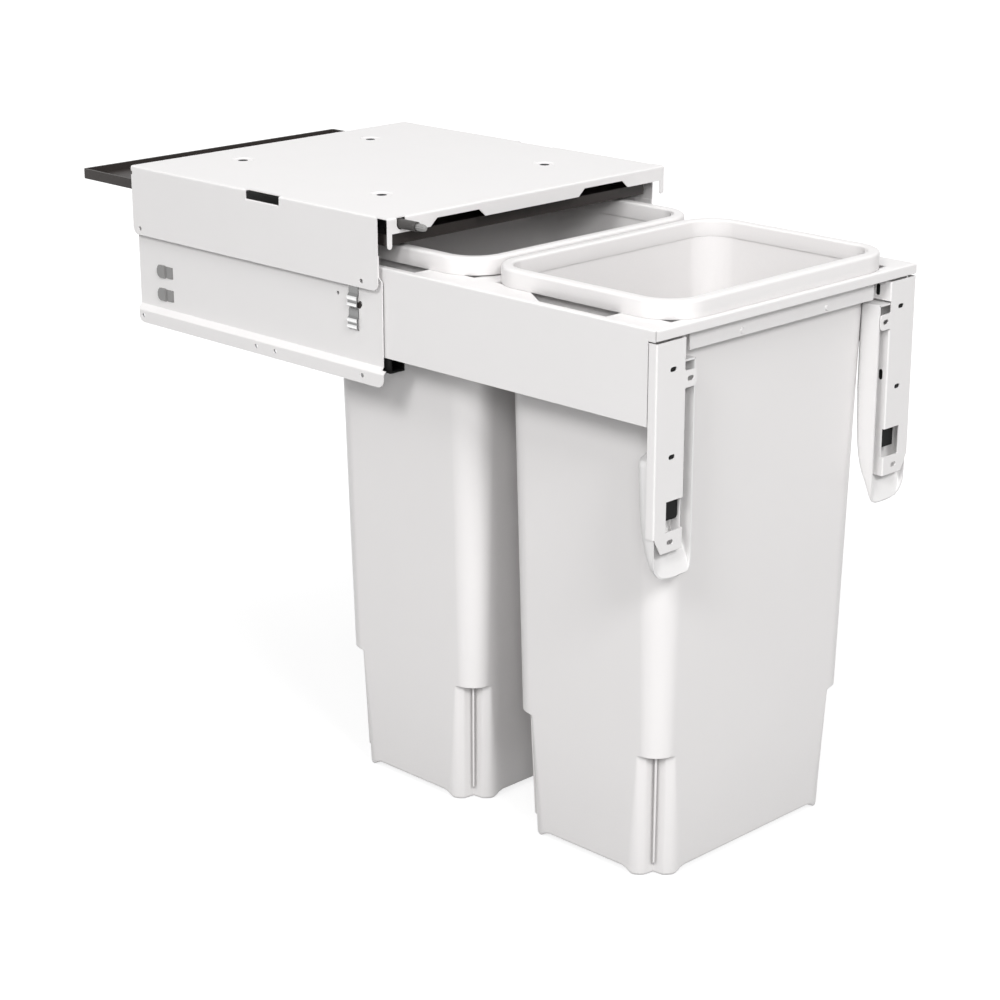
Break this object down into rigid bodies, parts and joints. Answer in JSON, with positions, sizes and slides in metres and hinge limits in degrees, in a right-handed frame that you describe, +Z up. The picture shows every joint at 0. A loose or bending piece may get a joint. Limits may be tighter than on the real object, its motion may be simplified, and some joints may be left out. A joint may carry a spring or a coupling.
{
  "type": "pull out waste bin unit",
  "caption": "Pull-out waste unit for a base cabinet: tall bins in a steel drawer frame on ball-bearing runners under a fixed hood with a lid tray and brackets for the door.",
  "frame": {"origin": "on the hood's top face, at the middle of its width, over the front edge of its side flanges; it is the face that is screwed up under the cabinet's top", "axes": "+X to the right seen from the front, +Y to the back of the cabinet, +Z up; the drawer pulls out along -Y"},
  "size_m": [0.414, 0.88, 0.639],
  "materials": {
    "white_steel": "satin white powder coat",
    "zinc_steel": "zinc-plated, fine rolled grain",
    "spring_steel": "bright spring steel",
    "cage_steel": "yellow-passivated strip",
    "ball_steel": "polished",
    "charcoal_plastic": "fine matt grain",
    "black_plastic": "matt moulded",
    "dark_grey_plastic": "matt moulded",
    "grey_plastic": "satin moulded",
    "white_plastic": "semi-gloss moulded",
    "bin_plastic": "semi-gloss moulded"
  },
  "bodies": {
    "cabinet_frame": {"hood": "white_steel", "side_plate_left": "white_steel", "side_plate_right": "white_steel", "lid_tray": "charcoal_plastic", "lid_rail_left": "white_steel", "lid_rail_right": "white_steel", "runner_bracket_left": "zinc_steel", "runner_bracket_right": "zinc_steel", "cabinet_rail_left": "zinc_steel", "cabinet_rail_right": "zinc_steel", "end_cap_left": "black_plastic", "end_cap_right": "black_plastic", "spring_clip_left": "spring_steel", "spring_clip_right": "spring_steel", "guide_clip_left": "grey_plastic", "guide_clip_right": "grey_plastic", "bumper_holder": "black_plastic", "bumper_housing": "dark_grey_plastic"},
    "drawer": {"drawer_rail_left": "zinc_steel", "drawer_rail_right": "zinc_steel", "drawer_side_left": "white_steel", "drawer_side_right": "white_steel", "front_rail": "white_steel", "front_stiffener": "white_steel", "stiffener_rivets": "white_steel", "middle_crossbar": "white_steel", "rear_crossbar": "white_steel", "door_bracket_left": "white_steel", "door_bracket_right": "white_steel", "bracket_cover_left": "white_plastic", "bracket_cover_right": "white_plastic", "adjuster_block_left": "black_plastic", "adjuster_block_right": "black_plastic", "front_bin": "bin_plastic", "rear_bin": "bin_plastic"},
    "bumper_plunger": {"bumper_plunger": "grey_plastic"},
    "middle_slide_left": {"middle_rail_left": "zinc_steel"},
    "outer_cage_left": {"outer_cage_left": "cage_steel", "outer_balls_left": "ball_steel"},
    "inner_cage_left": {"inner_cage_left": "cage_steel", "inner_balls_left": "ball_steel"},
    "middle_slide_right": {"middle_rail_right": "zinc_steel"},
    "outer_cage_right": {"outer_cage_right": "cage_steel", "outer_balls_right": "ball_steel"},
    "inner_cage_right": {"inner_cage_right": "cage_steel", "inner_balls_right": "ball_steel"}
  },
  "joints": [
    {"name": "drawer_slide", "type": "slide", "parent": "cabinet_frame", "child": "drawer", "axis": [0, -1, 0], "range_m": [-0.319, 0.165]},
    {"name": "bumper_press", "type": "slide", "parent": "cabinet_frame", "child": "bumper_plunger", "axis": [0, 1, 0], "range_m": [0, 0.008], "stiffness_N_per_m": 300, "springref_m": -0.004},
    {"name": "middle_rail_travel_left", "type": "slide", "parent": "cabinet_frame", "child": "middle_slide_left", "axis": [0, -1, 0], "range_m": [-0.1595, 0.0825]},
    {"name": "outer_cage_travel_left", "type": "slide", "parent": "cabinet_frame", "child": "outer_cage_left", "axis": [0, -1, 0], "range_m": [-0.07975, 0.04125]},
    {"name": "inner_cage_travel_left", "type": "slide", "parent": "cabinet_frame", "child": "inner_cage_left", "axis": [0, -1, 0], "range_m": [-0.23925, 0.12375]},
    {"name": "middle_rail_travel_right", "type": "slide", "parent": "cabinet_frame", "child": "middle_slide_right", "axis": [0, -1, 0], "range_m": [-0.1595, 0.0825]},
    {"name": "outer_cage_travel_right", "type": "slide", "parent": "cabinet_frame", "child": "outer_cage_right", "axis": [0, -1, 0], "range_m": [-0.07975, 0.04125]},
    {"name": "inner_cage_travel_right", "type": "slide", "parent": "cabinet_frame", "child": "inner_cage_right", "axis": [0, -1, 0], "range_m": [-0.23925, 0.12375]}
  ],
  "couplings": [
    {"joint": "middle_rail_travel_left", "follows": "drawer_slide", "ratio": 0.5},
    {"joint": "outer_cage_travel_left", "follows": "drawer_slide", "ratio": 0.25},
    {"joint": "inner_cage_travel_left", "follows": "drawer_slide", "ratio": 0.75},
    {"joint": "middle_rail_travel_right", "follows": "drawer_slide", "ratio": 0.5},
    {"joint": "outer_cage_travel_right", "follows": "drawer_slide", "ratio": 0.25},
    {"joint": "inner_cage_travel_right", "follows": "drawer_slide", "ratio": 0.75}
  ]
}
